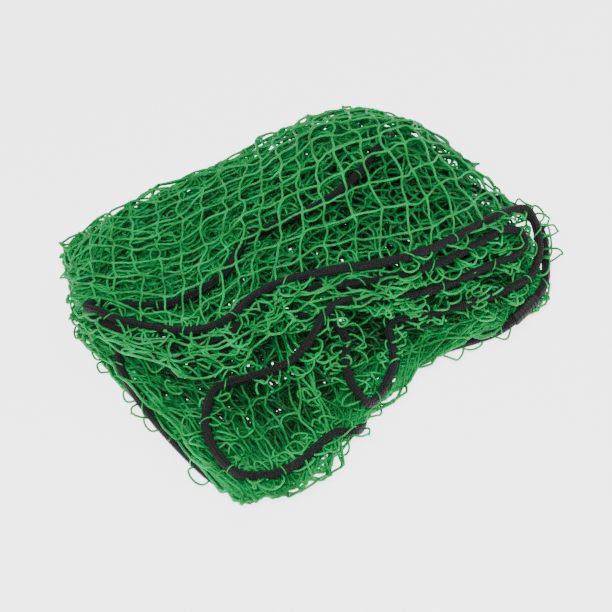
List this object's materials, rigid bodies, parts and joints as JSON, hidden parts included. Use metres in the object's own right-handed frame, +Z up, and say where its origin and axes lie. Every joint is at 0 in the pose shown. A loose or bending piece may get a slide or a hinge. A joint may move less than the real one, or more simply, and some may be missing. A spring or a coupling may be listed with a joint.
{
  "type": "cargo climbing net",
  "caption": "Square-mesh cargo climbing net with a braided border rope, folded into a low pile with loops of its rope out at the front and the right",
  "frame": {"origin": "on the floor under the middle of the pile, in the plane of its flat underside", "axes": "+X along the pile's longest side, left to right; +Y from the front, where the rope loops show, to the back; +Z up"},
  "size_m": [0.6131, 0.5203, 0.1723],
  "materials": {
    "netting_twine": "twisted polypropylene twine, green",
    "border_rope": "braided rope, black",
    "rope_seizing": "tight turns of black whipping twine"
  },
  "bodies": {
    "root": {"netting_layer_01": "netting_twine", "netting_layer_02": "netting_twine", "netting_layer_03": "netting_twine", "netting_layer_04": "netting_twine", "netting_layer_05": "netting_twine", "netting_layer_06": "netting_twine", "netting_layer_07": "netting_twine", "netting_layer_08": "netting_twine", "netting_layer_09": "netting_twine", "netting_layer_10": "netting_twine", "netting_layer_11": "netting_twine", "netting_layer_12": "netting_twine", "netting_layer_13": "netting_twine", "netting_layer_14": "netting_twine", "netting_layer_15": "netting_twine", "netting_layer_16": "netting_twine", "netting_layer_17": "netting_twine", "netting_layer_18": "netting_twine", "netting_layer_19": "netting_twine", "netting_layer_20": "netting_twine", "border_rope": "border_rope", "rope_end_seizing": "rope_seizing"}
  },
  "joints": []
}
